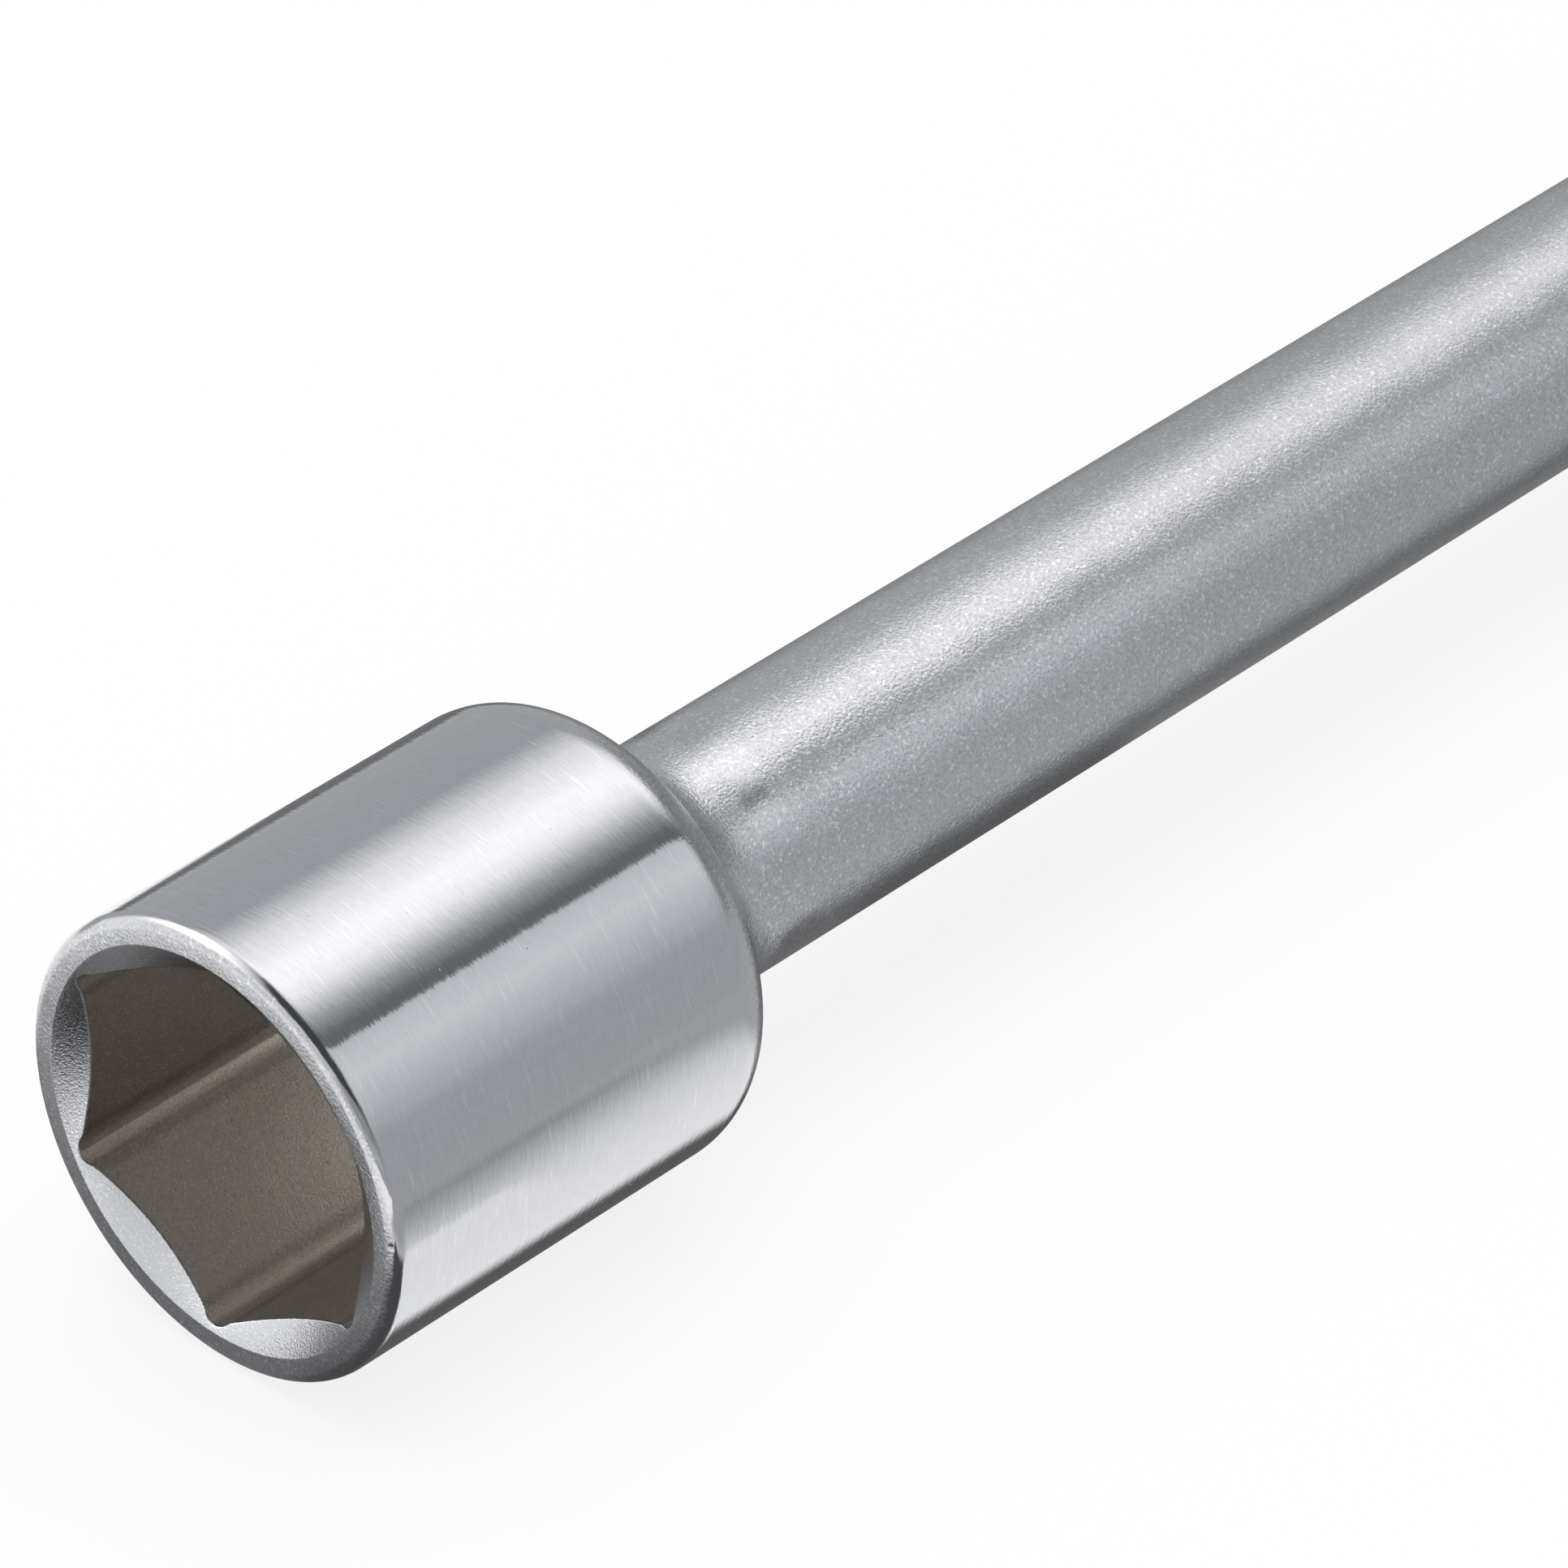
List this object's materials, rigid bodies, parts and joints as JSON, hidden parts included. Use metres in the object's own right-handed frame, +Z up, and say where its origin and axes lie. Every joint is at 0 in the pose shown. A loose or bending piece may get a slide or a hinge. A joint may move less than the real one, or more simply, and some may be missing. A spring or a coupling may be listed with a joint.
{
  "type": "t-handle wrench",
  "caption": "Socket wrench with a hexagon socket on a long round shank and a sliding cross bar with end knobs as its T-handle.",
  "frame": {"origin": "centre of the socket's mouth, on the tool's axis", "axes": "+X along the shank from the mouth to the handle, +Y along the cross bar, +Z up with the tool lying flat"},
  "size_m": [0.28, 0.18, 0.0176],
  "materials": {
    "plated_forging": "polished socket, bead-blasted neck and shank",
    "polished_chrome": "polished",
    "bar_chrome": "ground and plated",
    "spring_steel": "dark satin",
    "ball_steel": "bright",
    "black_oxide_steel": "black oxide",
    "washer_steel": "zinc plated",
    "black_rubber": "matt"
  },
  "bodies": {
    "wrench": {"socket_shank": "plated_forging", "bar_head": "polished_chrome", "head_pin": "spring_steel", "detent_spring": "spring_steel", "detent_screw": "black_oxide_steel"},
    "stop_washers": {"left_washer": "washer_steel", "right_washer": "washer_steel"},
    "handle_bar": {"cross_bar": "bar_chrome", "left_knob": "polished_chrome", "right_knob": "polished_chrome", "left_knob_pin": "spring_steel", "right_knob_pin": "spring_steel", "left_bumper_ring": "black_rubber", "right_bumper_ring": "black_rubber"},
    "ball": {"detent_ball": "ball_steel"}
  },
  "joints": [
    {"name": "bar_slide", "type": "slide", "parent": "wrench", "child": "stop_washers", "axis": [0, 1, 0], "range_m": [-0.0615, 0.0615]},
    {"name": "bar_spin", "type": "hinge", "parent": "stop_washers", "child": "handle_bar", "pos_m": [0.26069, 0, 0], "axis": [0, 1, 0], "continuous": true},
    {"name": "ball_drop", "type": "slide", "parent": "wrench", "child": "ball", "axis": [-1, 0, 0], "range_m": [0, 0.0008], "stiffness_N_per_m": 2000, "springref_m": 0.003, "deforming": ["detent_spring"]}
  ]
}
